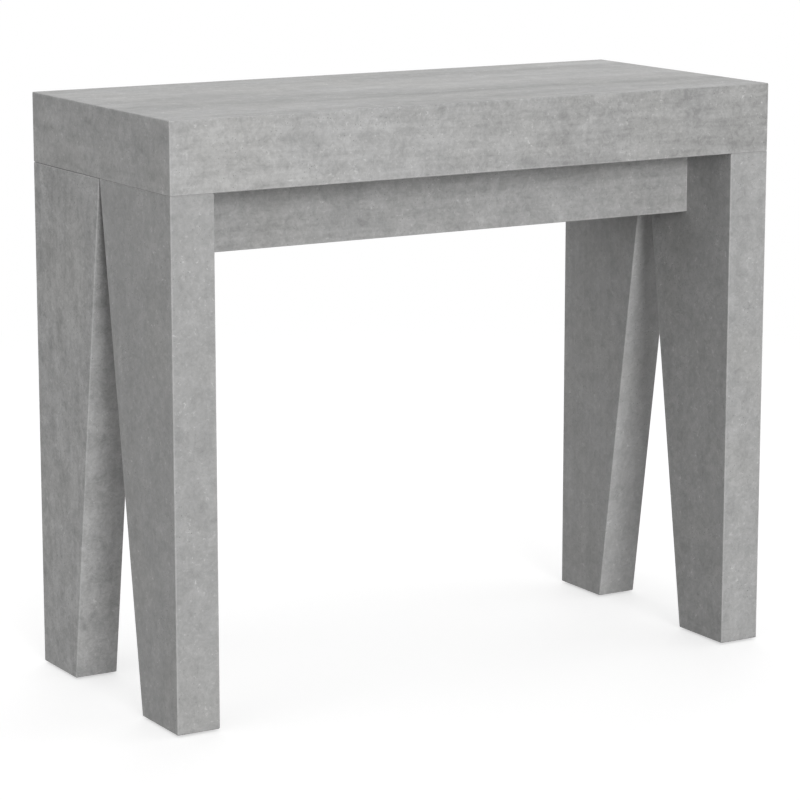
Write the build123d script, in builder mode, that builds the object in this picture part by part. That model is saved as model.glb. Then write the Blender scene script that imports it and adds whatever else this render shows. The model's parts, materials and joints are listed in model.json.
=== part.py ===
# Console table that pulls out into a dining table.
# The top box stands on the front legs and stays in place. The rear legs, their apron and the rear beam
# pull away backwards on a telescopic frame of aluminium rails inside the box, and loose leaves are laid on
# the open rails.
# Millimetres. The origin is on the floor under the middle of the closed table, +X to the right and +Y to
# the rear.

import os

from build123d import *

os.makedirs("parts", exist_ok=True)

# The table's outer sizes
table_length = 900.0
table_depth = 400.0
leg_height = 680.0
box_height = 92.0
glide_height = 3.0

# Boards
board_thickness = 22.0  # top panel, fascias and rear beam
leg_thickness = 60.0
foot_depth = 100.0
leg_gap = 1.0  # between the heads of a front and a rear leg
apron_height = 90.0
apron_thickness = 18.0
apron_setback = 100.0  # from the outer face of the legs
edge_radius = 1.5  # long edges of the box and the legs
edge_chamfer = 0.8  # ends of the legs and lower rim of the box

# Clearances
slide_clearance = 0.5  # between the box and what slides in it
fit_clearance = 0.05  # around screws, pins and dowels in their holes

# Telescopic frame: fixed rail, sliding stages and end rail, side by side from each end fascia inwards
stage_count = 5
rail_width = 18.0
rail_gap = 1.0  # between neighbouring rails
rail_wall = 3.0
rail_end_gap = 2.0  # from a rail's ends to the front fascia and the rear beam
rail_overlap = 92.0  # what stays inside the next rail when it is fully drawn out
groove_lip = 3.0
groove_depth = 6.0
groove_height = 20.0
slot_height = 10.0
tongue_clearance = 0.4
channel_depth = 2.5  # channel along the tongue for the stop pin
channel_height = 6.0
plug_length = 8.0
pin_radius = 2.5
pin_seat = 5.0
stop_clearance = 0.5
tie_width = 12.0
tie_thickness = 4.0
tie_boss = 1.5  # lifts the tie's middle clear of the other rails
tie_pitch = 16.0
tie_clearance = 1.0  # between the ties and the cleats below
cleat_thickness = 15.0
tie_screw_spacing = 9.0

# Countersunk screws of the rails, ties and brackets
screw_radius = 1.8
screw_head_radius = 3.4
tie_screw_length = 8.0
rail_screw_length = 24.0
rail_screw_inset = 30.0
bracket_screw_length = 14.0

# Leg bolts in threaded inserts
bolt_radius = 4.0
bolt_head_radius = 7.0
bolt_head_height = 4.4
bolt_reach = 28.0  # below the leg's top
bolt_inset = 50.0  # outer bolts, from the outer face of the legs
bolt_room = 15.0  # from the ties to the heads of the inner bolts
socket_radius = 2.9
socket_depth = 2.4
insert_radius = 6.0
insert_length = 25.0
insert_hole_depth = 32.0

# Apron fittings
cam_radius = 7.5
cam_depth = 12.5
cam_inset = 34.0  # from the apron's end
cam_edge = 19.0  # from the apron's upper and lower edge
cam_slot = 3.0  # how far the bolt's tip stands past the cam's middle
cam_bolt_radius = 3.0
cam_bolt_seat = 11.0
cam_drive_radius = 3.0
cam_drive_depth = 2.0
dowel_radius = 4.0
dowel_length = 34.0

# Glides and slip pads
glide_radius = 11.0
glide_inset = 22.0
spigot_radius = 3.0
spigot_length = 12.0
pad_width = 14.0
pad_length = 150.0
pad_thickness = 2.0

# Brackets between the end rails and the rear beam
bracket_leg = 32.0
bracket_height = 36.0
bracket_thickness = 3.0
bracket_screw_spacing = 20.0

# Sockets for the first leaf's dowels in the rear edge of the top panel
leaf_socket_radius = 4.1
leaf_socket_depth = 25.0
leaf_socket_spacing = 600.0

# Levels and faces that several pieces share
half_length = table_length / 2
half_depth = table_depth / 2
leg_bottom = glide_height
box_bottom = leg_bottom + leg_height
table_top = box_bottom + box_height
leaf_level = table_top - board_thickness
rear_leg_top = box_bottom - slide_clearance
rail_top = leaf_level - slide_clearance
cleat_top = box_bottom + cleat_thickness
tie_bottom = cleat_top + tie_clearance
tie_top = tie_bottom + tie_thickness
rail_bottom = tie_top + tie_boss
rail_height = rail_top - rail_bottom  # the rails fill the room that the cleats and ties leave
rail_middle = (rail_bottom + rail_top) / 2
inner_half = half_length - board_thickness  # inner faces of the end fascias
leg_inner = half_length - leg_thickness  # inner faces of the legs
inner_depth = half_depth - board_thickness  # inner faces of the front fascia and the rear beam

# Rails along Y: every stage moves by the same length
end_stage = stage_count + 1
rail_front = rail_end_gap - inner_depth
rail_rear = inner_depth - rail_end_gap
rail_pitch = rail_width + rail_gap
stage_travel = rail_rear - rail_front - rail_overlap
pin_y = rail_front + plug_length + stage_travel + stop_clearance + pin_radius
groove_floor = rail_width - groove_lip - groove_depth  # wall behind the groove
pin_reach = tongue_clearance + channel_depth - stop_clearance

# Places of the fittings
bolt_x = (inner_half + leg_inner) / 2
inner_bolt_y = (stage_count - 1) / 2 * tie_pitch + tie_width / 2 + bolt_room + bolt_head_radius
bolt_rows = (half_depth - bolt_inset, inner_bolt_y)
glide_rows = (half_depth - glide_inset, half_depth - foot_depth + glide_inset)
glide_x = half_length - leg_thickness / 2
apron_y = half_depth - apron_setback - apron_thickness / 2
apron_bottom = box_bottom - apron_height
rail_screw_rows = (rail_front + rail_screw_inset, 0, rail_rear - rail_screw_inset)
cleat_y = (inner_depth + leg_gap / 2) / 2
cleat_dowel_y = -cleat_y
cleat_dowel_z = (box_bottom + cleat_top) / 2
pad_x = half_length - board_thickness / 2
pad_y = (half_depth + leg_gap / 2) / 2
pad_seat = pad_thickness - slide_clearance
bracket_inner = inner_half - end_stage * rail_pitch - rail_width
bracket_screw_x = bracket_inner - (bracket_leg + bracket_thickness) / 2
bracket_screw_y = inner_depth - (bracket_leg + bracket_thickness) / 2
bracket_hole_depth = bracket_screw_length - bracket_thickness + fit_clearance
bracket_screw_rows = (rail_middle - bracket_screw_spacing / 2, rail_middle + bracket_screw_spacing / 2)
screw_head_height = screw_head_radius - screw_radius
screw_hole_radius = screw_radius + fit_clearance
screw_sink_radius = screw_head_radius + fit_clearance
sides = {"left": -1, "right": 1}
ends = {"front": -1, "rear": 1}


def rail_outer(stage):
    """Distance from the table's middle to the outer face of a stage's rails."""
    return inner_half - stage * rail_pitch


def tie_y(stage):
    """Place of a stage's cross tie: each tie starts behind the one that moves less."""
    return (stage - (stage_count + 1) / 2) * tie_pitch


def cam_heights(leg_top):
    """Heights of an apron's cam locks."""
    return (apron_bottom + cam_edge, leg_top - cam_edge)


def cam_places(leg_top):
    """Places of an apron's cam locks, along its length and in height."""
    return [(s * (leg_inner - cam_inset), z) for s in sides.values() for z in cam_heights(leg_top)]


def dowel_height(leg_top):
    """Height of an apron's dowels."""
    return (apron_bottom + leg_top) / 2


def bolt_places(end):
    """Places of the bolts that hold the legs of one end, seen from above."""
    return [(s * bolt_x, ends[end] * y) for s in sides.values() for y in bolt_rows]


def leg_top_of(end):
    """The front legs carry the box; the rear legs pass under it with a clearance."""
    return box_bottom if end == "front" else rear_leg_top


def cleat_outer(end):
    """The front cleats sit on the end fascias; the rear ones slide along them."""
    return inner_half if end == "front" else inner_half - slide_clearance


def save(part, name):
    """Labels a finished piece and writes it under its own name."""
    part.label = name
    export_step(part, f"parts/{name}.step")


# Top box: one rounded shell, open below and at the rear, parted into mitred boards
with BuildPart() as box_shell:
    with BuildSketch(Plane.XY.offset(box_bottom)):
        Rectangle(table_length, table_depth)
    extrude(amount=box_height)
    fillet(box_shell.edges().filter_by(Axis.Z), radius=edge_radius)
    fillet(box_shell.faces().sort_by(Axis.Z)[-1].edges(), radius=edge_radius)
    chamfer(box_shell.faces().sort_by(Axis.Z)[0].edges(), length=edge_chamfer)
    with BuildSketch(Plane.XY.offset(box_bottom)):
        with Locations((0, board_thickness / 2)):
            Rectangle(2 * inner_half, table_depth - board_thickness)
    extrude(amount=box_height - board_thickness, mode=Mode.SUBTRACT)

# Mitre planes: each holds an outer edge of the box and the inner edge below it
front_mitre = Plane(origin=(0, -half_depth, table_top), x_dir=(1, 0, 0), z_dir=(0, 1, 1))
left_mitre = Plane(origin=(-half_length, 0, table_top), x_dir=(0, 1, 0), z_dir=(1, 0, 1))
right_mitre = Plane(origin=(half_length, 0, table_top), x_dir=(0, 1, 0), z_dir=(-1, 0, 1))
left_corner = Plane(origin=(-half_length, -half_depth, 0), x_dir=(0, 0, 1), z_dir=(1, -1, 0))
right_corner = Plane(origin=(half_length, -half_depth, 0), x_dir=(0, 0, 1), z_dir=(-1, -1, 0))

with BuildPart() as top_panel:
    add(box_shell.part)
    split(bisect_by=front_mitre, keep=Keep.TOP)
    split(bisect_by=left_mitre, keep=Keep.TOP)
    split(bisect_by=right_mitre, keep=Keep.TOP)
    with BuildSketch(Plane.XZ.offset(-half_depth)):
        with GridLocations(leaf_socket_spacing, 0, 2, 1):
            with Locations((0, table_top - board_thickness / 2)):
                Circle(leaf_socket_radius)
    extrude(amount=leaf_socket_depth, mode=Mode.SUBTRACT)
save(top_panel.part, "top_panel")

with BuildPart() as front_fascia:
    add(box_shell.part)
    split(bisect_by=front_mitre, keep=Keep.BOTTOM)
    split(bisect_by=left_corner, keep=Keep.TOP)
    split(bisect_by=right_corner, keep=Keep.TOP)
save(front_fascia.part, "front_fascia")


def end_fascia(side):
    """End board of the box, with the holes of the fixed rail's screws and of the cleat's dowel."""
    sign = sides[side]
    with BuildPart() as fascia:
        add(box_shell.part)
        split(bisect_by=left_mitre if sign < 0 else right_mitre, keep=Keep.BOTTOM)
        split(bisect_by=left_corner if sign < 0 else right_corner, keep=Keep.BOTTOM)
        with BuildSketch(Plane.YZ.offset(sign * inner_half)):
            with Locations(*[(y, rail_middle) for y in rail_screw_rows]):
                Circle(screw_hole_radius)
        extrude(amount=sign * (rail_screw_length - groove_floor + fit_clearance), mode=Mode.SUBTRACT)
        with BuildSketch(Plane.YZ.offset(sign * inner_half)):
            with Locations((cleat_dowel_y, cleat_dowel_z)):
                Circle(dowel_radius + fit_clearance)
        extrude(amount=sign * dowel_length / 2, mode=Mode.SUBTRACT)
    return fascia.part


for side in sides:
    save(end_fascia(side), f"{side}_fascia")


def leg(end, side):
    """Leg with an upright outer face and a slanted inner face, bored for its fittings."""
    outward = ends[end]
    sign = sides[side]
    top = leg_top_of(end)
    inner_face = Plane.YZ.offset(sign * leg_inner)
    with BuildPart() as body:
        with BuildSketch(inner_face):
            with BuildLine():
                Polyline(
                    (outward * half_depth, leg_bottom),
                    (outward * half_depth, top),
                    (outward * leg_gap / 2, top),
                    (outward * (half_depth - foot_depth), leg_bottom),
                    close=True,
                )
            make_face()
        extrude(amount=sign * leg_thickness)
        long_edges = body.edges().filter_by(Axis.X, reverse=True).filter_by(Axis.Y, reverse=True)
        fillet(long_edges, radius=edge_radius)
        chamfer(body.faces().sort_by(Axis.Z)[-1].edges(), length=edge_chamfer)
        chamfer(body.faces().sort_by(Axis.Z)[0].edges(), length=edge_chamfer)
        # Threaded inserts in the head
        with BuildSketch(Plane.XY.offset(top)):
            with Locations(*[(sign * bolt_x, outward * y) for y in bolt_rows]):
                Circle(insert_radius + fit_clearance)
        extrude(amount=-insert_hole_depth, mode=Mode.SUBTRACT)
        # Spigots of the glides in the foot
        with BuildSketch(Plane.XY.offset(leg_bottom)):
            with Locations(*[(sign * glide_x, outward * y) for y in glide_rows]):
                Circle(spigot_radius + fit_clearance)
        extrude(amount=spigot_length, mode=Mode.SUBTRACT)
        # Cam bolts and dowel of the apron
        with BuildSketch(inner_face):
            with Locations(*[(outward * apron_y, z) for z in cam_heights(top)]):
                Circle(cam_bolt_radius + fit_clearance)
        extrude(amount=sign * cam_bolt_seat, mode=Mode.SUBTRACT)
        with BuildSketch(inner_face):
            with Locations((outward * apron_y, dowel_height(top))):
                Circle(dowel_radius + fit_clearance)
        extrude(amount=sign * dowel_length / 2, mode=Mode.SUBTRACT)
        # Seat of the slip pad under the end fascia
        if end == "rear":
            with BuildSketch(Plane.XY.offset(top)):
                with Locations((sign * pad_x, pad_y)):
                    Rectangle(pad_width + 2 * fit_clearance, pad_length + 2 * fit_clearance)
            extrude(amount=-pad_seat, mode=Mode.SUBTRACT)
    return body.part


for end in ends:
    for side in sides:
        save(leg(end, side), f"{end}_{side}_leg")


def apron(end):
    """Lower board between two legs, bored at its ends for bolts and dowels, at its back for cam locks."""
    outward = ends[end]
    top = leg_top_of(end)
    middle = outward * apron_y
    back = outward * (apron_y - apron_thickness / 2)
    with BuildPart() as board:
        with BuildSketch(Plane.XY.offset(apron_bottom)):
            with Locations((0, middle)):
                Rectangle(2 * leg_inner, apron_thickness)
        extrude(amount=top - apron_bottom)
        chamfer(board.faces().sort_by(Axis.Z)[0].edges().filter_by(Axis.X), length=edge_chamfer)
        with BuildSketch(Plane.XZ.offset(-back)):
            with Locations(*cam_places(top)):
                Circle(cam_radius + fit_clearance)
        extrude(amount=-outward * cam_depth, mode=Mode.SUBTRACT)
        for sign in sides.values():
            with BuildSketch(Plane.YZ.offset(sign * leg_inner)):
                with Locations(*[(middle, z) for z in cam_heights(top)]):
                    Circle(cam_bolt_radius + fit_clearance)
            extrude(amount=-sign * cam_inset, mode=Mode.SUBTRACT)
            with BuildSketch(Plane.YZ.offset(sign * leg_inner)):
                with Locations((middle, dowel_height(top))):
                    Circle(dowel_radius + fit_clearance)
            extrude(amount=-sign * dowel_length / 2, mode=Mode.SUBTRACT)
    return board.part


def apron_cams(end):
    """Cam locks at the back of an apron, slotted for the tips of the cam bolts."""
    outward = ends[end]
    top = leg_top_of(end)
    back = outward * (apron_y - apron_thickness / 2)
    with BuildPart() as cams:
        with BuildSketch(Plane.XZ.offset(-back)):
            with Locations(*cam_places(top)):
                Circle(cam_radius)
        extrude(amount=-outward * (cam_depth - fit_clearance))
        with BuildSketch(Plane.XZ.offset(-back)):
            with Locations(*cam_places(top)):
                RegularPolygon(cam_drive_radius, 4)
        extrude(amount=-outward * cam_drive_depth, mode=Mode.SUBTRACT)
        for sign in sides.values():
            with BuildSketch(Plane.YZ.offset(sign * (leg_inner - cam_inset - cam_slot))):
                with Locations(*[(outward * apron_y, z) for z in cam_heights(top)]):
                    Circle(cam_bolt_radius + fit_clearance)
            extrude(amount=sign * (cam_slot + cam_radius), mode=Mode.SUBTRACT)
    return cams.part


def apron_cam_bolts(end):
    """Bolts that stand out of the legs into the cam locks."""
    outward = ends[end]
    top = leg_top_of(end)
    with BuildPart() as bolts:
        for sign in sides.values():
            with BuildSketch(Plane.YZ.offset(sign * (leg_inner + cam_bolt_seat))):
                with Locations(*[(outward * apron_y, z) for z in cam_heights(top)]):
                    Circle(cam_bolt_radius)
            extrude(amount=-sign * (cam_bolt_seat + cam_inset + cam_slot))
    return bolts.part


def dowels(end):
    """Dowels of the apron, and of the cleats: into the end fascias in front, into the rear beam behind."""
    outward = ends[end]
    with BuildPart() as pins:
        for sign in sides.values():
            with BuildSketch(Plane.YZ.offset(sign * (leg_inner - dowel_length / 2))):
                with Locations((outward * apron_y, dowel_height(leg_top_of(end)))):
                    Circle(dowel_radius)
            extrude(amount=sign * dowel_length)
        if end == "front":
            for sign in sides.values():
                with BuildSketch(Plane.YZ.offset(sign * (inner_half - dowel_length / 2))):
                    with Locations((cleat_dowel_y, cleat_dowel_z)):
                        Circle(dowel_radius)
                extrude(amount=sign * dowel_length)
        else:
            with BuildSketch(Plane.XZ.offset(dowel_length / 2 - inner_depth)):
                with Locations(*[(s * bolt_x, cleat_dowel_z) for s in sides.values()]):
                    Circle(dowel_radius)
            extrude(amount=-dowel_length)
    return pins.part


def cleats(end):
    """Flat cleats on the legs' heads inside the box, bored for the leg bolts."""
    outward = ends[end]
    outer = cleat_outer(end)
    bottom = leg_top_of(end)
    with BuildPart() as strips:
        with BuildSketch(Plane.XY.offset(bottom)):
            for sign in sides.values():
                with Locations((sign * (outer + leg_inner) / 2, outward * cleat_y)):
                    Rectangle(outer - leg_inner, inner_depth - leg_gap / 2)
        extrude(amount=cleat_top - bottom)
        with BuildSketch(Plane.XY.offset(bottom)):
            with Locations(*bolt_places(end)):
                Circle(bolt_radius + 2 * fit_clearance)
        extrude(amount=cleat_top - bottom, mode=Mode.SUBTRACT)
        if end == "front":
            for sign in sides.values():
                with BuildSketch(Plane.YZ.offset(sign * outer)):
                    with Locations((cleat_dowel_y, cleat_dowel_z)):
                        Circle(dowel_radius + fit_clearance)
                extrude(amount=-sign * dowel_length / 2, mode=Mode.SUBTRACT)
        else:
            with BuildSketch(Plane.XZ.offset(-inner_depth)):
                with Locations(*[(s * bolt_x, cleat_dowel_z) for s in sides.values()]):
                    Circle(dowel_radius + fit_clearance)
            extrude(amount=dowel_length / 2, mode=Mode.SUBTRACT)
    return strips.part


def leg_bolts(end):
    """Button-head bolts from the cleats down into the legs."""
    with BuildPart() as bolts:
        with BuildSketch(Plane.XY.offset(leg_top_of(end) - bolt_reach)):
            with Locations(*bolt_places(end)):
                Circle(bolt_radius)
        extrude(amount=bolt_reach + cleat_top - leg_top_of(end))
        with BuildSketch(Plane.XY.offset(cleat_top)):
            with Locations(*bolt_places(end)):
                Circle(bolt_head_radius)
        extrude(amount=bolt_head_height)
        chamfer(bolts.faces().group_by(Axis.Z)[-1].edges(), length=bolt_head_height / 2)
        with BuildSketch(Plane.XY.offset(cleat_top + bolt_head_height)):
            with Locations(*bolt_places(end)):
                RegularPolygon(socket_radius, 6)
        extrude(amount=-socket_depth, mode=Mode.SUBTRACT)
    return bolts.part


def leg_inserts(end):
    """Threaded sleeves in the legs' heads."""
    with BuildPart() as sleeves:
        with BuildSketch(Plane.XY.offset(leg_top_of(end))):
            with Locations(*bolt_places(end)):
                Circle(insert_radius)
                Circle(bolt_radius + fit_clearance, mode=Mode.SUBTRACT)
        extrude(amount=-insert_length)
    return sleeves.part


def glides(end):
    """Nylon glides under the feet, each with a spigot in the leg."""
    places = [(s * glide_x, ends[end] * y) for s in sides.values() for y in glide_rows]
    with BuildPart() as feet:
        with BuildSketch(Plane.XY):
            with Locations(*places):
                Circle(glide_radius)
        extrude(amount=glide_height)
        fillet(feet.faces().group_by(Axis.Z)[0].edges(), radius=glide_height / 3)
        with BuildSketch(Plane.XY.offset(glide_height)):
            with Locations(*places):
                Circle(spigot_radius)
        extrude(amount=spigot_length - fit_clearance)
    return feet.part


for end in ends:
    save(apron(end), f"{end}_apron")
    save(apron_cams(end), f"{end}_apron_cams")
    save(apron_cam_bolts(end), f"{end}_apron_cam_bolts")
    save(dowels(end), f"{end}_dowels")
    save(cleats(end), f"{end}_cleats")
    save(leg_bolts(end), f"{end}_leg_bolts")
    save(leg_inserts(end), f"{end}_leg_inserts")
    save(glides(end), f"{end}_glides")

# Pads that the end fascias rest on while the box is closed
with BuildPart() as rear_slip_pads:
    with BuildSketch(Plane.XY.offset(rear_leg_top - pad_seat)):
        with Locations(*[(s * pad_x, pad_y) for s in sides.values()]):
            Rectangle(pad_width, pad_length)
    extrude(amount=pad_thickness)
save(rear_slip_pads.part, "rear_slip_pads")

# Beam that closes the rear of the box and rides on the rear legs
with BuildPart() as rear_beam:
    with BuildSketch(Plane.XY.offset(rear_leg_top)):
        with Locations((0, half_depth - board_thickness / 2)):
            Rectangle(2 * (inner_half - slide_clearance), board_thickness)
    extrude(amount=rail_top - rear_leg_top)
    chamfer(rear_beam.faces().sort_by(Axis.Y)[-1].edges(), length=edge_chamfer)
    with BuildSketch(Plane.XZ.offset(-inner_depth)):
        with Locations(*[(s * bolt_x, cleat_dowel_z) for s in sides.values()]):
            Circle(dowel_radius + fit_clearance)
    extrude(amount=-dowel_length / 2, mode=Mode.SUBTRACT)
    with BuildSketch(Plane.XZ.offset(-inner_depth)):
        with Locations(*[(s * bracket_screw_x, z) for s in sides.values() for z in bracket_screw_rows]):
            Circle(screw_hole_radius)
    extrude(amount=-bracket_hole_depth, mode=Mode.SUBTRACT)
save(rear_beam.part, "rear_beam")


def rail(stage, side):
    """Aluminium rail: a tongue on its outer side runs in the next rail's groove."""
    sign = sides[side]
    outer = rail_outer(stage)
    rear = inner_depth if stage == end_stage else rail_rear
    body_x = sign * (outer - rail_width / 2)
    slot_x = sign * (outer - rail_width + groove_lip / 2)
    groove_x = sign * (outer - rail_width + groove_lip + groove_depth / 2)
    neck = rail_gap + groove_lip + tongue_clearance
    head = groove_depth - 2 * tongue_clearance
    chamber_height = (rail_height - groove_height) / 2 - 2 * rail_wall
    chamber_rise = (groove_height + chamber_height) / 2 + rail_wall
    with BuildPart() as profile:
        with BuildSketch(Plane.XZ.offset(-rail_front)):
            with Locations((body_x, rail_middle)):
                Rectangle(rail_width, rail_height)
            with Locations((body_x, rail_middle - chamber_rise), (body_x, rail_middle + chamber_rise)):
                Rectangle(rail_width - 2 * rail_wall, chamber_height, mode=Mode.SUBTRACT)
            if stage < end_stage:
                with Locations((slot_x, rail_middle)):
                    Rectangle(groove_lip, slot_height, mode=Mode.SUBTRACT)
                with Locations((groove_x, rail_middle)):
                    Rectangle(groove_depth, groove_height, mode=Mode.SUBTRACT)
            if stage > 0:
                with Locations((sign * (outer + neck / 2), rail_middle)):
                    Rectangle(neck, slot_height - 2 * tongue_clearance)
                with Locations((sign * (outer + neck + head / 2), rail_middle)):
                    Rectangle(head, groove_height - 2 * tongue_clearance)
                with Locations((sign * (outer + neck + head - channel_depth / 2), rail_middle)):
                    Rectangle(channel_depth, channel_height, mode=Mode.SUBTRACT)
        extrude(amount=rail_front - rear)
        if stage < end_stage:
            with BuildSketch(Plane.YZ.offset(sign * (outer - groove_floor))):
                with Locations((pin_y, rail_middle)):
                    Circle(pin_radius + fit_clearance)
            extrude(amount=sign * pin_seat, mode=Mode.SUBTRACT)
        if stage == 0:
            with Locations(*rail_screw_places(side)):
                CounterSinkHole(screw_hole_radius, screw_sink_radius, groove_floor, 90)
        if 0 < stage < end_stage:
            with BuildSketch(Plane.XY.offset(rail_bottom)):
                with Locations((body_x, tie_y(stage))):
                    with GridLocations(tie_screw_spacing, 0, 2, 1):
                        Circle(screw_hole_radius)
            extrude(amount=rail_wall, mode=Mode.SUBTRACT)
        if stage == end_stage:
            with BuildSketch(Plane.YZ.offset(sign * bracket_inner)):
                with Locations(*[(bracket_screw_y, z) for z in bracket_screw_rows]):
                    Circle(screw_hole_radius)
            extrude(amount=sign * bracket_hole_depth, mode=Mode.SUBTRACT)
    return profile.part


def rail_screw_places(side):
    """Where the fixed rail's screws sit in the wall behind the groove, pointing out into the fascia."""
    sign = sides[side]
    x = sign * (inner_half - groove_floor)
    return [Location((x, y, rail_middle), (0, -90 * sign, 0)) for y in rail_screw_rows]


def tie_screw_places(stage):
    """Where a stage's screws sit in the underside of its tie, pointing up into the rails."""
    middle = rail_outer(stage) - rail_width / 2
    offsets = (-tie_screw_spacing / 2, tie_screw_spacing / 2)
    rows = [s * middle + offset for s in sides.values() for offset in offsets]
    return [Location((x, tie_y(stage), tie_bottom), (180, 0, 0)) for x in rows]


def bracket_screw_places():
    """Where the brackets' screws sit, pointing into the end rails and into the rear beam."""
    places = []
    for sign in sides.values():
        for z in bracket_screw_rows:
            rail_side = (sign * (bracket_inner - bracket_thickness), bracket_screw_y, z)
            beam_side = (sign * bracket_screw_x, inner_depth - bracket_thickness, z)
            places.append(Location(rail_side, (0, -90 * sign, 0)))
            places.append(Location(beam_side, (90, 0, 0)))
    return places


def countersunk_screws(places, length):
    """Screws whose flat heads lie flush at their places, pointing along each place's -Z."""
    with BuildPart() as screws:
        with Locations(*places):
            Cylinder(screw_radius, length, align=(Align.CENTER, Align.CENTER, Align.MAX))
            Cone(
                screw_radius,
                screw_head_radius,
                screw_head_height,
                align=(Align.CENTER, Align.CENTER, Align.MAX),
            )
    return screws.part


def stop_pins(stage):
    """Pins in the groove of a stage's rails; each runs in the channel of the next tongue."""
    with BuildPart() as pins:
        for sign in sides.values():
            with BuildSketch(Plane.YZ.offset(sign * (rail_outer(stage) - groove_floor - pin_reach))):
                with Locations((pin_y, rail_middle)):
                    Circle(pin_radius)
            extrude(amount=sign * (pin_reach + pin_seat - fit_clearance))
    return pins.part


def stop_plugs(stage):
    """Plugs at the front end of the tongues' channels; they meet the pins when the rails are drawn out."""
    reach = rail_gap + groove_lip + groove_depth - tongue_clearance
    with BuildPart() as plugs:
        with BuildSketch(Plane.XZ.offset(-rail_front)):
            for sign in sides.values():
                with Locations((sign * (rail_outer(stage) + reach - channel_depth / 2), rail_middle)):
                    Rectangle(channel_depth, channel_height)
        extrude(amount=-plug_length)
    return plugs.part


def cross_tie(stage):
    """Flat steel tie under a stage's two rails, with raised ends that it is screwed up by."""
    outer = rail_outer(stage)
    with BuildPart() as tie:
        with BuildSketch(Plane.XY.offset(tie_bottom)):
            with Locations((0, tie_y(stage))):
                Rectangle(2 * outer, tie_width)
        extrude(amount=tie_thickness)
        with BuildSketch(Plane.XY.offset(tie_top)):
            for sign in sides.values():
                with Locations((sign * (outer - rail_width / 2), tie_y(stage))):
                    Rectangle(rail_width, tie_width)
        extrude(amount=tie_boss)
        with Locations(*tie_screw_places(stage)):
            CounterSinkHole(screw_hole_radius, screw_sink_radius, tie_thickness + tie_boss, 90)
    return tie.part


# Fixed rails on the end fascias
for side in sides:
    save(rail(0, side), f"{side}_fixed_rail")
fixed_rail_places = [place for side in sides for place in rail_screw_places(side)]
save(countersunk_screws(fixed_rail_places, rail_screw_length), "fixed_rail_screws")
save(stop_pins(0), "fixed_rail_stop_pins")

# Sliding stages
for stage in range(1, end_stage):
    for side in sides:
        save(rail(stage, side), f"stage_{stage}_{side}_rail")
    save(cross_tie(stage), f"stage_{stage}_cross_tie")
    save(countersunk_screws(tie_screw_places(stage), tie_screw_length), f"stage_{stage}_tie_screws")
    with BuildPart() as stage_stops:
        add(stop_pins(stage))
        add(stop_plugs(stage))
    save(stage_stops.part, f"stage_{stage}_stops")

# End rails on the rear beam
for side in sides:
    save(rail(end_stage, side), f"{side}_end_rail")
save(stop_plugs(end_stage), "end_rail_stop_plugs")
with BuildPart() as end_rail_brackets:
    with BuildSketch(Plane.XY.offset(rail_middle - bracket_height / 2)):
        for sign in sides.values():
            with Locations((sign * (bracket_inner - bracket_thickness / 2), inner_depth - bracket_leg / 2)):
                Rectangle(bracket_thickness, bracket_leg)
            with Locations((sign * (bracket_inner - bracket_leg / 2), inner_depth - bracket_thickness / 2)):
                Rectangle(bracket_leg, bracket_thickness)
    extrude(amount=bracket_height)
    with Locations(*bracket_screw_places()):
        CounterSinkHole(screw_hole_radius, screw_sink_radius, bracket_thickness, 90)
save(end_rail_brackets.part, "end_rail_brackets")
save(countersunk_screws(bracket_screw_places(), bracket_screw_length), "end_rail_screws")
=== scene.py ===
import json
from math import radians

import bpy
import numpy as np
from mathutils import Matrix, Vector


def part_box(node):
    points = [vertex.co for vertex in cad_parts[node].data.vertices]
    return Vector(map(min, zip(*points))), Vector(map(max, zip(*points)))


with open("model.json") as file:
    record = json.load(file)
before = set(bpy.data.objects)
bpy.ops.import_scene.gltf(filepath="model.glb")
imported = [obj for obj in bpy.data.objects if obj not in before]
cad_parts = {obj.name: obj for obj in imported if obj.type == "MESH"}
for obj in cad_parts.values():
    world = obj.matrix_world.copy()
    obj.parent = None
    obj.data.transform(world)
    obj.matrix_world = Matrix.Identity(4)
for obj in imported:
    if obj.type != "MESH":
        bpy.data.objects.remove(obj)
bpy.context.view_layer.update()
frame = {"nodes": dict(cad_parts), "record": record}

parts = frame["nodes"]
mounts = frame["record"]["mounts"]
scene = bpy.context.scene
mm = 0.001   # a mount's radius is in millimetres, all else is in metres


# small helpers for building shader trees

screen = {"levels": 255.0, "offset": 0.055, "power": 2.4}   # from a screen value to linear light
warmShare = (0.35, 0.10, -1.0)       # what a warm grey gains in red and green and loses in blue
patternStep = (1.37, 0.71, 2.13)     # how far each seed moves along the pattern
patternStart = (0.0, 3.0, -5.0)
noiseMiddle = 0.5                    # the level that a noise swings about
evenly = (1.0, 1.0, 1.0)
# what a noise and a finish have where their own look doesn't say
plainLayer = {"detail": 3.0, "rough": 0.55, "warp": 0.0, "stretch": evenly}
plainFinish = {"metal": 0.0, "specular": 0.5}


def plug(tree, value, socket):
    # a socket is linked, a plain value is set
    if isinstance(value, bpy.types.NodeSocket):
        tree.links.new(value, socket)
    else:
        socket.default_value = value


def addNode(tree, kind, props=None, ins=None):
    node = tree.nodes.new("ShaderNode" + kind)
    for key, value in (props or {}).items():
        setattr(node, key, value)
    for key, value in (ins or {}).items():
        plug(tree, value, node.inputs[key])
    return node


def calc(tree, op, a, b=0.0, c=0.0):
    return addNode(tree, "Math", {"operation": op}, {0: a, 1: b, 2: c}).outputs[0]


def weigh(tree, start, *terms):
    # start plus each term times its weight
    total = start
    for value, weight in terms:
        total = calc(tree, "MULTIPLY_ADD", value, weight, total)
    return total


def remap(tree, value, span, out=(0.0, 1.0), shape="LINEAR"):
    # value from span[0]..span[1] to out[0]..out[1], held at the ends
    node = addNode(tree, "MapRange", {"interpolation_type": shape, "clamp": True},
                   {"Value": value, "From Min": span[0], "From Max": span[1],
                    "To Min": out[0], "To Max": out[1]})
    return node.outputs["Result"]


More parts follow.
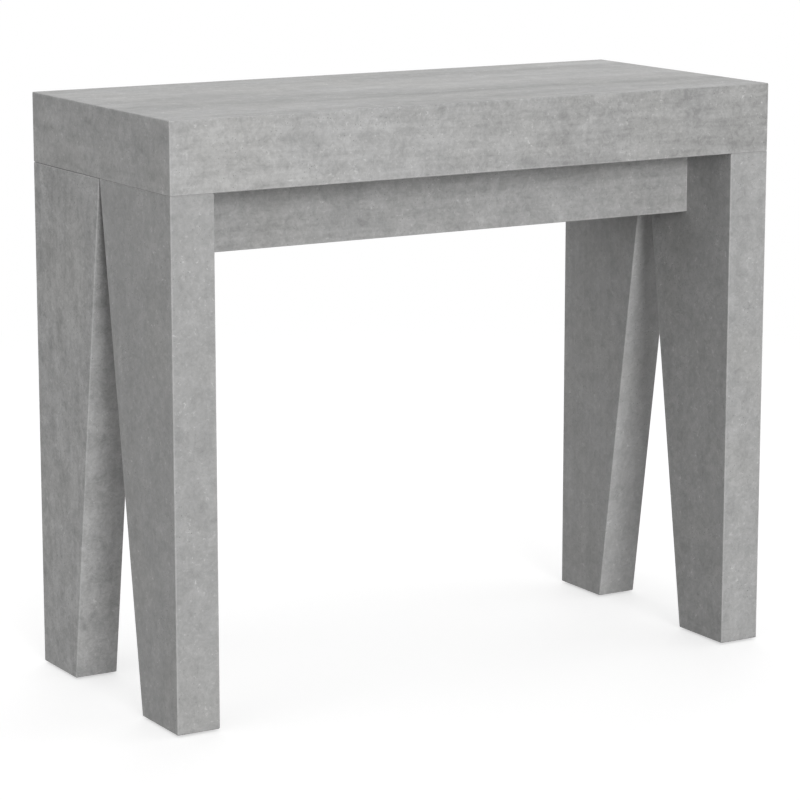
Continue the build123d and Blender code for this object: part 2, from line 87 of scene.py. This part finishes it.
def ease(tree, value, span, out=(0.0, 1.0)):
    return remap(tree, value, span, out, "SMOOTHSTEP")


def moved(tree, place, seed, stretch=evenly):
    # the pattern at another spot for each seed, and drawn out along its grain
    spot = [start + step * seed for start, step in zip(patternStart, patternStep)]
    node = addNode(tree, "Mapping", None, {"Vector": place, "Location": spot, "Scale": stretch})
    return node.outputs[0]


def layer(tree, where, look, size=1.0):
    # one noise: scale per metre, octaves, how rough it is and how warped
    look = {**plainLayer, **look}
    node = addNode(tree, "TexNoise", None,
                   {"Vector": where, "Scale": look["scale"] / size, "Detail": look["detail"],
                    "Roughness": look["rough"], "Distortion": look["warp"]})
    return node.outputs["Fac"]


def layers(tree, place, look, *names):
    # several noises of a finish, each at its own spot and with its own stretch
    made = []
    for seed, name in enumerate(names, 1):
        own = {**plainLayer, **look[name]}
        made.append(layer(tree, moved(tree, place, seed, own["stretch"]), own))
    return made


def cells(tree, where, scale):
    # distance to the nearest cell's middle, and one random number for each cell
    node = addNode(tree, "TexVoronoi", {"feature": "F1"}, {"Vector": where, "Scale": scale})
    each = addNode(tree, "SeparateColor", None, {0: node.outputs["Color"]}).outputs[0]
    return node.outputs["Distance"], each


def mixColor(tree, amount, a, b, blend="MIX"):
    node = addNode(tree, "Mix", {"data_type": "RGBA", "blend_type": blend, "clamp_factor": True})
    colors = [socket for socket in node.inputs if socket.type == "RGBA"]
    plug(tree, amount, node.inputs[0])
    plug(tree, a, colors[0])
    plug(tree, b, colors[1])
    return next(socket for socket in node.outputs if socket.type == "RGBA")


def axes(tree, place):
    return addNode(tree, "SeparateXYZ", None, {0: place}).outputs


def grey(level, warm=0.0):
    # a grey written as a screen value, in linear light
    raised = (level / screen["levels"] + screen["offset"]) / (1.0 + screen["offset"])
    linear = raised ** screen["power"]
    return (*(linear * (1.0 + share * warm) for share in warmShare), 1.0)


def startMaterial(name):
    mat = bpy.data.materials.new(name)
    mat.use_nodes = True
    tree = mat.node_tree
    tree.nodes.clear()
    out = addNode(tree, "OutputMaterial")
    shader = addNode(tree, "BsdfPrincipled")
    tree.links.new(shader.outputs[0], out.inputs["Surface"])
    place = addNode(tree, "TexCoord").outputs["Object"]
    return mat, tree, shader, place


def finishShader(tree, shader, color, rough, height, look):
    look = {**plainFinish, **look}
    plug(tree, color, shader.inputs["Base Color"])
    plug(tree, rough, shader.inputs["Roughness"])
    plug(tree, look["metal"], shader.inputs["Metallic"])
    plug(tree, look["specular"], shader.inputs["Specular IOR Level"])
    bump = addNode(tree, "Bump", None, {"Height": height, "Strength": look["bump"],
                                        "Distance": look["bumpDepth"]})
    plug(tree, bump.outputs[0], shader.inputs["Normal"])


# concrete-look laminate on all the boards

laminate = {
    "dark": grey(152, 0.006), "light": grey(197, 0.005),
    "level": 0.5,   # where a plain board lies between the two
    # layers of the print, each with how far it swings the tone
    "cloud": {"scale": 4.0, "rough": 0.50, "swing": 0.28},
    "mottle": {"scale": 26.0, "detail": 7.0, "rough": 0.80, "warp": 0.3, "swing": 1.80},
    "curl": {"scale": 95.0, "rough": 0.70, "warp": 1.1, "swing": 1.24},
    "streak": {"scale": 62.0, "detail": 4.0, "rough": 0.65, "swing": 1.24},
    "grit": {"scale": 430.0, "detail": 2.0, "rough": 0.70, "swing": 0.40},
    # the streaks are drawn out along the grain, on a stretch of their own
    "grainStretch": 0.10, "streakSeed": 0.4,
    # pale flecks, thicker where the mottle is pale; their colour is also the edges' wear and painted
    # highlight
    "fleckAndHighlightColor": grey(212, 0.004), "fleckSpan": (0.590, 0.665),
    "fleck": {"scale": 165.0, "detail": 4.0, "rough": 0.72, "warp": 0.6},
    "fleckPatch": (0.44, 0.60), "fleckRange": (0.2, 0.8),
    # dark hair lines along the middle level of a noise, only in some places, in a colour that the pores
    # and the painted joint shade share
    "poreAndShadeColor": grey(106, 0.008), "lineWidth": 0.018, "lineSpan": (0.56, 0.68), "lineDepth": 0.38,
    "line": {"scale": 88.0, "rough": 0.60, "warp": 1.2},
    "lineWhere": {"scale": 21.0, "rough": 0.60},
    # fine pores, one in some of the cells, gathered in patches
    "poreScale": 300.0, "poreSize": (0.10, 0.26), "poreShare": (0.74, 0.82), "poreDepth": 0.75,
    "poreWhere": {"scale": 13.0, "rough": 0.60}, "porePatch": (0.46, 0.62), "poreRange": (0.25, 1.0),
    # faintly warm stains
    "warmTint": (1.0, 0.992, 0.966, 1.0), "warmSpan": (0.45, 0.68), "warm": 0.30,
    "warmth": {"scale": 7.0, "detail": 2.0}, "warmSeed": 0.8,
    # edges painted lighter, partly as wear and partly as a painted highlight where light catches them,
    # more in some stretches than in others
    "wearAndHighlightWidth": 0.0026, "wearAndHighlight": 0.44, "wearAndHighlightSpan": (0.30, 0.62), "wearAndHighlightRange": (0.35, 1.0),
    "rubAndHighlight": {"scale": 48.0, "detail": 4.0, "rough": 0.70},
    # dark line where a bolted leg's top meets the box: painted shade in the joint, with some dust
    "jointWidth": 0.0032, "jointEdge": 0.0006, "joint": 0.14,
    # satin sheen and a shallow embossing
    "roughSpan": (0.55, 0.95), "rough": (0.70, 0.86), "gritRough": 0.5, "specular": 0.20,
    "mottleHeight": 0.50, "gritHeight": 0.55, "streakHeight": 0.30, "poreHeight": -0.80,
    "bump": 0.20, "bumpDepth": 0.0005,
}
chipboard = {
    "dark": (0.30, 0.20, 0.11, 1.0), "light": (0.58, 0.45, 0.29, 1.0), "chipScale": 520.0,
    "reach": 0.0003,   # how far past a socket's radius its wall is still bare
}

plainBoard = {
    "grain": "x",         # the way the print runs
    "streak": 0.4,        # how much of the streaks shows
    "streakSize": 1.0,    # how wide they are
    "fine": 1.0,          # how much of the small layers shows
    "contrast": 0.95,     # how strong the whole print is
    "shade": 0.0,         # how much lighter the board is
    "drift": 0.0,         # how much darker it gets towards +x, per metre: a painted falloff of light
    "wearAndHighlight": 1.0,          # how much its edges are painted lighter, as wear and as a painted highlight
}
# the seed picks a board's stretch of the print
boards = {
    "top_panel": {"seed": 1.0, "streak": 1.6, "streakSize": 6.0, "fine": 0.6, "contrast": 0.78,
                  "shade": -0.02},
    # the front fascia's drift is painted shade: light falling off across it towards +x
    "front_fascia": {"seed": 2.0, "streak": 0.95, "streakSize": 0.7, "contrast": 0.88,
                     "shade": -0.01, "drift": 0.42},
    "left_fascia": {"seed": 3.0, "grain": "y", "streak": 1.0, "streakSize": 1.3, "contrast": 0.85},
    "right_fascia": {"seed": 4.0, "grain": "y", "streak": 1.0, "streakSize": 1.3, "contrast": 0.85},
    "front_left_leg": {"seed": 5.0, "grain": "z", "streak": 0.35, "contrast": 0.72, "shade": -0.07},
    "front_right_leg": {"seed": 6.0, "grain": "z", "streak": 0.35, "contrast": 0.80, "shade": -0.06},
    "rear_left_leg": {"seed": 7.0, "grain": "z", "streak": 0.6, "contrast": 1.15,
                      "shade": 0.13, "wearAndHighlight": 0.3},
    "rear_right_leg": {"seed": 8.0, "grain": "z", "streak": 0.6, "contrast": 0.75,
                       "shade": 0.13, "wearAndHighlight": 0.3},
    "front_apron": {"seed": 9.0, "streak": 0.9, "streakSize": 0.7, "contrast": 0.9, "shade": 0.03},
    "rear_apron": {"seed": 10.0, "shade": -0.04},
    "rear_beam": {"seed": 11.0},
}
shell = ("top_panel", "front_fascia", "left_fascia", "right_fascia")   # one mitred box
boltedLegs = ("front_left_leg", "front_right_leg")   # the rear ones slide, with a gap above them
legFoot = 0.100   # from the table's middle to where a leg's slanted face meets the floor


def isLeg(name):
    return name.endswith("leg")


def boardBox(name):
    boxes = [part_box(n) for n in (shell if name in shell else (name,))]
    lo = Vector([min(b[0][i] for b in boxes) for i in range(3)])
    hi = Vector([max(b[1][i] for b in boxes) for i in range(3)])
    return lo, hi


def edgeDistance(tree, place, name):
    # how far a point is from the board's nearest edge: the middle one of its distances to three faces
    lo, hi = boardBox(name)
    at = axes(tree, place)
    dist = []
    for i in range(3):
        off = calc(tree, "ABSOLUTE", calc(tree, "SUBTRACT", at[i], (lo[i] + hi[i]) / 2))
        dist.append(calc(tree, "SUBTRACT", (hi[i] - lo[i]) / 2, off))
    if name in shell:
        # the edges round the top get neither wear nor painted highlight, so only the lower face counts
        dist[2] = calc(tree, "SUBTRACT", at[2], lo[2])
    if isLeg(name):
        # only a leg's upright edges get the wear and painted highlight, and one of its faces runs from
        # the foot out to the top
        side = 1.0 if name.startswith("front") else -1.0
        foot = -side * legFoot
        slope = ((hi[1] if side > 0 else lo[1]) - foot) / (hi[2] - lo[2])
        slant = calc(tree, "MULTIPLY_ADD", at[2], slope, foot - slope * lo[2])
        gap = calc(tree, "MULTIPLY", calc(tree, "SUBTRACT", slant, at[1]), side)
        return calc(tree, "MAXIMUM", dist[0], calc(tree, "MINIMUM", dist[1], gap))
    low = calc(tree, "MINIMUM", calc(tree, "MINIMUM", dist[0], dist[1]), dist[2])
    high = calc(tree, "MAXIMUM", calc(tree, "MAXIMUM", dist[0], dist[1]), dist[2])
    return weigh(tree, dist[0], (dist[1], 1.0), (dist[2], 1.0), (low, -1.0), (high, -1.0))


def boreMask(tree, place, reach):
    # 1 on the walls of the sockets bored along y into the top's rear edge
    flatten = addNode(tree, "VectorMath", {"operation": "MULTIPLY"}, {0: place, 1: (1.0, 0.0, 1.0)})
    mask = 0.0
    for bore in (m for m in mounts if m["kind"] == "bore"):
        axis = (bore["pos_m"][0], 0.0, bore["pos_m"][2])
        away = addNode(tree, "VectorMath", {"operation": "DISTANCE"}, {0: flatten.outputs[0], 1: axis})
        inside = calc(tree, "LESS_THAN", away.outputs["Value"], bore["dims"]["r_mm"] * mm + reach)
        mask = calc(tree, "MAXIMUM", mask, inside)
    return mask


def concreteLaminate(name, look, own):
    mat, tree, shader, place = startMaterial("laminate_" + name)
    flat = moved(tree, place, own["seed"])
    grain = tuple(look["grainStretch"] if axis == own["grain"] else 1.0 for axis in "xyz")
    along = moved(tree, place, own["seed"] + look["streakSeed"], grain)
    prints = {key: layer(tree, flat, look[key]) for key in ("cloud", "mottle", "curl", "grit")}
    prints["streak"] = layer(tree, along, look["streak"], own["streakSize"])
    mottle, grit, streak = prints["mottle"], prints["grit"], prints["streak"]

    # tone runs from 0, dark, to 1, light: the board's level, less a painted falloff of light towards +x,
    # then each layer's swing about its middle
    tone = weigh(tree, look["level"] + own["shade"], (axes(tree, place)[0], -own["drift"]))
    amount = {"streak": own["streak"], "curl": own["fine"], "grit": own["fine"]}
    for key, value in prints.items():
        swing = own["contrast"] * look[key]["swing"] * amount.get(key, 1.0)
        tone = weigh(tree, tone, (calc(tree, "SUBTRACT", value, noiseMiddle), swing))
    color = mixColor(tree, tone, look["dark"], look["light"])

    fleck = ease(tree, layer(tree, flat, look["fleck"]), look["fleckSpan"])
    fleck = calc(tree, "MULTIPLY", fleck, ease(tree, mottle, look["fleckPatch"], look["fleckRange"]))
    color = mixColor(tree, fleck, color, look["fleckAndHighlightColor"])
    ridge = calc(tree, "SUBTRACT", layer(tree, flat, look["line"]), noiseMiddle)
    ridge = calc(tree, "ABSOLUTE", ridge)
    line = ease(tree, ridge, (0.0, look["lineWidth"]), (1.0, 0.0))
    where = ease(tree, layer(tree, flat, look["lineWhere"]), look["lineSpan"], (0.0, look["lineDepth"]))
    color = mixColor(tree, calc(tree, "MULTIPLY", line, where), color, look["poreAndShadeColor"])
    middle, each = cells(tree, flat, look["poreScale"])
    pore = calc(tree, "MULTIPLY", ease(tree, middle, look["poreSize"], (1.0, 0.0)),
                ease(tree, each, look["poreShare"], (0.0, look["poreDepth"])))
    patch = ease(tree, layer(tree, flat, look["poreWhere"]), look["porePatch"], look["poreRange"])
    pore = calc(tree, "MULTIPLY", pore, patch)
    color = mixColor(tree, pore, color, look["poreAndShadeColor"])
    apart = moved(tree, place, own["seed"] + look["warmSeed"])
    warmth = layer(tree, apart, look["warmth"])
    warmth = ease(tree, warmth, look["warmSpan"], (0.0, look["warm"]))
    color = mixColor(tree, warmth, color, look["warmTint"], "MULTIPLY")

    # edges painted lighter: partly wear, partly a painted highlight where light catches them
    wearAndHighlight = look["wearAndHighlight"] * own["wearAndHighlight"]
    rubAndHighlight = ease(tree, edgeDistance(tree, place, name), (0.0, look["wearAndHighlightWidth"]), (wearAndHighlight, 0.0))
    wornAndHighlighted = ease(tree, layer(tree, flat, look["rubAndHighlight"]), look["wearAndHighlightSpan"], look["wearAndHighlightRange"])
    color = mixColor(tree, calc(tree, "MULTIPLY", rubAndHighlight, wornAndHighlighted), color, look["fleckAndHighlightColor"])
    # painted shade, with some dust, in the joint along a bolted leg's top under the box
    if name in boltedLegs:
        top = boardBox(name)[1][2]
        span = (top - look["jointWidth"], top - look["jointEdge"])
        joint = ease(tree, axes(tree, place)[2], span, (0.0, look["joint"]))
        color = mixColor(tree, joint, color, look["poreAndShadeColor"])
    if name == "top_panel":
        chip = cells(tree, flat, chipboard["chipScale"])[1]
        raw = mixColor(tree, chip, chipboard["dark"], chipboard["light"])
        color = mixColor(tree, boreMask(tree, place, chipboard["reach"]), color, raw)

    rough = remap(tree, weigh(tree, mottle, (grit, look["gritRough"])), look["roughSpan"], look["rough"])
    height = weigh(tree, 0.0, (mottle, look["mottleHeight"]), (grit, look["gritHeight"]),
                   (streak, look["streakHeight"]), (pore, look["poreHeight"]))
    finishShader(tree, shader, color, rough, height, look)
    return mat


# the inner parts' finishes

aluminiumLook = {
    "dark": (0.40, 0.41, 0.42, 1.0), "light": (0.62, 0.63, 0.64, 1.0), "toneSpan": (0.34, 0.66),
    # the extrusion lines run along y, and so does what was wiped
    "lines": {"scale": 700.0, "detail": 4.0, "rough": 0.70, "stretch": (1.0, 0.006, 1.0), "share": 0.65},
    "smudge": {"scale": 26.0, "detail": 4.0, "rough": 0.60, "stretch": (1.0, 0.4, 1.0), "share": 0.35},
    "haze": {"scale": 700.0, "detail": 2.0}, "hazeRough": 0.4, "hazeHeight": 0.15,
    "roughSpan": (0.5, 0.9), "rough": (0.30, 0.46), "metal": 1.0, "bump": 0.12, "bumpDepth": 0.0002,
}


def extrudedAluminium(look):
    mat, tree, shader, place = startMaterial("extruded_aluminium")
    lines, smudge, haze = layers(tree, place, look, "lines", "smudge", "haze")
    tone = weigh(tree, 0.0, (lines, look["lines"]["share"]), (smudge, look["smudge"]["share"]))
    color = mixColor(tree, remap(tree, tone, look["toneSpan"]), look["dark"], look["light"])
    rough = remap(tree, weigh(tree, smudge, (haze, look["hazeRough"])), look["roughSpan"], look["rough"])
    finishShader(tree, shader, color, rough, weigh(tree, lines, (haze, look["hazeHeight"])), look)
    return mat


powderLook = {
    "dark": grey(132), "light": grey(150), "toneSpan": (0.3, 0.7),
    "peel": {"scale": 850.0, "detail": 2.0},
    "cloud": {"scale": 14.0, "detail": 4.0},
    "scuff": {"scale": 140.0, "detail": 4.0, "rough": 0.70, "stretch": (0.08, 1.0, 1.0)},
    "scuffColor": grey(172), "scuffSpan": (0.60, 0.74), "scuffDepth": 0.5,
    "roughSpan": (0.7, 1.3), "rough": (0.38, 0.56), "bump": 0.18, "bumpDepth": 0.0003,
}


def powderCoat(look):
    mat, tree, shader, place = startMaterial("grey_powder_coat")
    peel, cloud, scuff = layers(tree, place, look, "peel", "cloud", "scuff")
    color = mixColor(tree, remap(tree, cloud, look["toneSpan"]), look["dark"], look["light"])
    scuffed = ease(tree, scuff, look["scuffSpan"], (0.0, look["scuffDepth"]))
    color = mixColor(tree, scuffed, color, look["scuffColor"])
    rough = remap(tree, calc(tree, "ADD", cloud, peel), look["roughSpan"], look["rough"])
    finishShader(tree, shader, color, rough, peel, look)
    return mat


platedLook = {
    "cool": (0.53, 0.56, 0.60, 1.0), "warm": (0.62, 0.60, 0.54, 1.0), "bright": (0.78, 0.78, 0.78, 1.0),
    "drift": {"scale": 160.0},
    "skin": {"scale": 1400.0, "detail": 2.0},
    "grainScale": 900.0, "grainDepth": 0.25,
    "roughSpan": (0.4, 1.5), "rough": (0.26, 0.44), "metal": 1.0, "bump": 0.12, "bumpDepth": 0.00015,
}


def platedSteel(look):
    mat, tree, shader, place = startMaterial("zinc_plated_steel")
    drift, skin = layers(tree, place, look, "drift", "skin")
    grain = cells(tree, place, look["grainScale"])[1]
    color = mixColor(tree, drift, look["cool"], look["warm"])
    color = mixColor(tree, calc(tree, "MULTIPLY", grain, look["grainDepth"]), color, look["bright"])
    rough = remap(tree, calc(tree, "ADD", grain, drift), look["roughSpan"], look["rough"])
    finishShader(tree, shader, color, rough, skin, look)
    return mat


castLook = {
    "dark": (0.38, 0.38, 0.39, 1.0), "light": (0.56, 0.56, 0.57, 1.0), "toneSpan": (0.7, 1.3),
    "skin": {"scale": 900.0, "detail": 4.0, "rough": 0.65},
    "stain": {"scale": 220.0},
    "roughSpan": (0.3, 0.7), "rough": (0.42, 0.62), "metal": 1.0, "bump": 0.25, "bumpDepth": 0.0003,
}


def castZinc(look):
    mat, tree, shader, place = startMaterial("cast_zinc")
    skin, stain = layers(tree, place, look, "skin", "stain")
    tone = remap(tree, calc(tree, "ADD", skin, stain), look["toneSpan"])
    color = mixColor(tree, tone, look["dark"], look["light"])
    finishShader(tree, shader, color, remap(tree, skin, look["roughSpan"], look["rough"]), skin, look)
    return mat


plasticLook = {
    "toneSpan": (0.3, 0.7), "dustSpan": (0.58, 0.74), "dustDepth": 0.35,
    "flow": {"scale": 60.0, "detail": 4.0},
    "dust": {"scale": 340.0, "detail": 4.0, "rough": 0.75},
    "spark": {"scale": 1400.0, "detail": 2.0},   # the mould's spark-eroded skin
    "roughSpan": (0.7, 1.3), "rough": (0.40, 0.60), "bump": 0.2, "bumpDepth": 0.0003,
}
nylonLook = {**plasticLook, "dark": grey(28), "light": grey(42), "dustColor": grey(92)}
stopLook = {**plasticLook, "dark": grey(58), "light": grey(74), "dustColor": grey(118)}


def mouldedPlastic(name, look):
    mat, tree, shader, place = startMaterial(name)
    flow, dust, spark = layers(tree, place, look, "flow", "dust", "spark")
    color = mixColor(tree, remap(tree, flow, look["toneSpan"]), look["dark"], look["light"])
    dusty = ease(tree, dust, look["dustSpan"], (0.0, look["dustDepth"]))
    color = mixColor(tree, dusty, color, look["dustColor"])
    rough = remap(tree, calc(tree, "ADD", spark, flow), look["roughSpan"], look["rough"])
    finishShader(tree, shader, color, rough, spark, look)
    return mat


plywoodLook = {
    "faceDark": (0.47, 0.33, 0.19, 1.0), "faceLight": (0.62, 0.47, 0.30, 1.0),
    "endDark": (0.27, 0.17, 0.09, 1.0), "endLight": (0.40, 0.27, 0.15, 1.0), "toneSpan": (0.3, 0.7),
    "ply": 0.0015, "plyEdge": (0.35, 0.65), "plyWave": 0.25,
    "wave": {"scale": 30.0},
    "grain": {"scale": 240.0, "detail": 5.0, "rough": 0.65, "stretch": (0.05, 1.0, 1.0)},
    "ends": {"scale": 900.0, "rough": 0.70},
    "rough": (0.55, 0.75), "bump": 0.25, "bumpDepth": 0.0004,
}


def cleatPlywood(look):
    # plies lie on each other upwards, and every second one shows end grain
    mat, tree, shader, place = startMaterial("cleat_plywood")
    wave, grain, ends = layers(tree, place, look, "wave", "grain", "ends")
    level = calc(tree, "DIVIDE", axes(tree, place)[2], look["ply"])
    level = weigh(tree, level, (wave, look["plyWave"]))
    ply = ease(tree, calc(tree, "PINGPONG", level, 1.0), look["plyEdge"])
    face = mixColor(tree, remap(tree, grain, look["toneSpan"]), look["faceDark"], look["faceLight"])
    cross = mixColor(tree, remap(tree, ends, look["toneSpan"]), look["endDark"], look["endLight"])
    rough = remap(tree, grain, look["toneSpan"], look["rough"])
    height = calc(tree, "ADD", grain, ends)
    finishShader(tree, shader, mixColor(tree, ply, face, cross), rough, height, look)
    return mat


beechLook = {
    "dark": (0.50, 0.33, 0.18, 1.0), "light": (0.66, 0.48, 0.30, 1.0), "toneSpan": (0.3, 0.7),
    "grain": {"scale": 420.0, "detail": 5.0, "rough": 0.60, "stretch": (1.0, 1.0, 0.08)},
    "ray": {"scale": 900.0, "detail": 2.0, "stretch": (1.0, 1.0, 0.25)},
    "rayColor": (0.40, 0.24, 0.12, 1.0), "raySpan": (0.60, 0.72), "rayDepth": 0.5,
    "rough": (0.55, 0.72), "bump": 0.25, "bumpDepth": 0.0004,
}


def dowelBeech(look):
    mat, tree, shader, place = startMaterial("dowel_beech")
    grain, ray = layers(tree, place, look, "grain", "ray")
    color = mixColor(tree, remap(tree, grain, look["toneSpan"]), look["dark"], look["light"])
    flecked = ease(tree, ray, look["raySpan"], (0.0, look["rayDepth"]))
    color = mixColor(tree, flecked, color, look["rayColor"])
    finishShader(tree, shader, color, remap(tree, grain, look["toneSpan"], look["rough"]), grain, look)
    return mat


innerFinishes = {
    "aluminium": extrudedAluminium(aluminiumLook),
    "grey_steel": powderCoat(powderLook),
    "zinc_steel": platedSteel(platedLook),
    "zinc": castZinc(castLook),
    "nylon": mouldedPlastic("black_nylon", nylonLook),
    "stop_plastic": mouldedPlastic("stop_plastic", stopLook),
    "plywood": cleatPlywood(plywoodLook),
    "beech": dowelBeech(beechLook),
}

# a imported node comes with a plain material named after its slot
for name, part in parts.items():
    if name in boards:
        mat = concreteLaminate(name, laminate, {**plainBoard, **boards[name]})
    else:
        mat = innerFinishes[part.data.materials[0].name]
    part.data.materials.clear()
    part.data.materials.append(mat)
print("finishes:", len(boards), "laminate boards,", len(innerFinishes), "inner finishes")


# floor, light and camera

white = (1.0, 1.0, 1.0, 1.0)


def flatGrey(level):
    return (level, level, level, 1.0)


def seenRays(tree):
    # 1 for what the camera sees, directly or in a reflection
    rays = addNode(tree, "LightPath").outputs
    mirrored = calc(tree, "MAXIMUM", rays["Is Glossy Ray"], rays["Is Transmission Ray"])
    return calc(tree, "MAXIMUM", rays["Is Camera Ray"], mirrored)


def gridMesh(name, points):
    # quads between neighbouring rows and columns of a grid of points
    rows, cols = points.shape[:2]
    a = (np.arange(rows - 1)[:, None] * cols + np.arange(cols - 1)[None, :]).ravel()
    faces = np.stack([a, a + 1, a + cols + 1, a + cols], 1)
    mesh = bpy.data.meshes.new(name)
    mesh.from_pydata(points.reshape(-1, 3).tolist(), [], faces.tolist())
    mesh.update()
    return mesh


floorLook = {
    "radius": 9.0, "rings": 24, "spokes": 96, "ringPower": 1.6,
    "eye": 0.001,   # leaves a hole in the middle that is too small to see
    # the tone that lights the table from below
    "color": 0.15, "grain": 0.012, "ripple": {"scale": 240.0}, "rough": 0.9, "specular": 0.1,
    # the tone that is seen, and the distances over which it goes over into plain white
    "seenColor": 0.62, "seenGlow": 0.56, "fade": (1.2, 2.6),
}


def palePaper(look):
    mat, tree, shader, place = startMaterial("floor_pale")
    ripple = layer(tree, place, look["ripple"])
    shades = [flatGrey(look["color"] + step) for step in (-look["grain"], look["grain"])]
    plug(tree, mixColor(tree, ripple, *shades), shader.inputs["Base Color"])
    plug(tree, look["rough"], shader.inputs["Roughness"])
    plug(tree, look["specular"], shader.inputs["Specular IOR Level"])
    # the camera and reflections see white paper with the table's shadow on it
    paper = addNode(tree, "BsdfDiffuse", None, {"Color": flatGrey(look["seenColor"])})
    glow = addNode(tree, "Emission", None, {"Color": white, "Strength": look["seenGlow"]})
    near = addNode(tree, "AddShader", None, {0: paper.outputs[0], 1: glow.outputs[0]})
    far = addNode(tree, "Emission", None, {"Color": white, "Strength": 1.0})
    away = addNode(tree, "VectorMath", {"operation": "LENGTH"}, {0: place}).outputs["Value"]
    shown = addNode(tree, "MixShader", None,
                    {0: ease(tree, away, look["fade"]), 1: near.outputs[0], 2: far.outputs[0]})
    both = addNode(tree, "MixShader", None,
                   {0: seenRays(tree), 1: shader.outputs[0], 2: shown.outputs[0]})
    out = next(n for n in tree.nodes if n.type == "OUTPUT_MATERIAL")
    plug(tree, both.outputs[0], out.inputs["Surface"])
    return mat


def makeFloor(look):
    # a disc: x = r cos t, y = r sin t, z = 0, with the rings closer together near the middle
    r = look["radius"] * np.linspace(1.0, look["eye"], look["rings"])[:, None] ** look["ringPower"]
    t = np.linspace(0.0, 2.0 * np.pi, look["spokes"] + 1)[None, :]
    points = np.stack([r * np.cos(t), r * np.sin(t), 0.0 * r * t], -1)
    floor = bpy.data.objects.new("floor", gridMesh("floor", points[::-1]))
    scene.collection.objects.link(floor)
    floor.data.materials.append(palePaper(look))


worldLook = {"light": 0.576, "seen": 1.0}   # what falls on the table, and what the camera sees


def makeWorld(look):
    world = bpy.data.worlds.new("studio")
    scene.world = world
    world.use_nodes = True
    tree = world.node_tree
    tree.nodes.clear()
    light = addNode(tree, "Background", None, {"Color": white, "Strength": look["light"]})
    seen = addNode(tree, "Background", None, {"Color": white, "Strength": look["seen"]})
    both = addNode(tree, "MixShader", None,
                   {0: seenRays(tree), 1: light.outputs[0], 2: seen.outputs[0]})
    out = addNode(tree, "OutputWorld")
    plug(tree, both.outputs[0], out.inputs["Surface"])


# a lamp's angle is how wide it looks from the table, in degrees, and makes its shadows soft
suns = {
    "key": {"from": (-0.17, -1.0, 0.22), "strength": 1.57, "angle": 26.0},
    "left": {"from": (-1.0, -0.1, 0.35), "strength": 0.23, "angle": 40.0},
    "right": {"from": (1.0, -0.3, 0.25), "strength": 0.30, "angle": 40.0},
    "back": {"from": (0.45, 1.0, 0.34), "strength": 1.10, "angle": 60.0},
}


def makeSun(name, look):
    sun = bpy.data.lights.new(name, "SUN")
    sun.energy = look["strength"]
    sun.angle = radians(look["angle"])
    lamp = bpy.data.objects.new(name, sun)
    lamp.rotation_euler = Vector(look["from"]).to_track_quat("Z", "Y").to_euler()
    scene.collection.objects.link(lamp)


photoView = {
    "place": (-2.171, -3.650, 1.204), "lens": 144.0, "sensor": 36.0,
    # in degrees: yaw turns the view right of +y, pitch tips it down from level, which is a tilt of 90
    "yaw": 30.65, "pitch": 11.35, "levelTilt": 90.0,
}


def makeCamera(look):
    cam = bpy.data.cameras.new("photo_view")
    cam.sensor_width = look["sensor"]
    cam.lens = look["lens"]
    eye = bpy.data.objects.new("photo_view", cam)
    eye.location = look["place"]
    eye.rotation_euler = (radians(look["levelTilt"] - look["pitch"]), 0.0, radians(-look["yaw"]))
    scene.collection.objects.link(eye)
    scene.camera = eye


makeFloor(floorLook)
makeWorld(worldLook)
for name, look in suns.items():
    makeSun(name, look)
makeCamera(photoView)
scene.view_settings.view_transform = "Standard"
print("studio: floor, world,", len(suns), "lamps, camera")
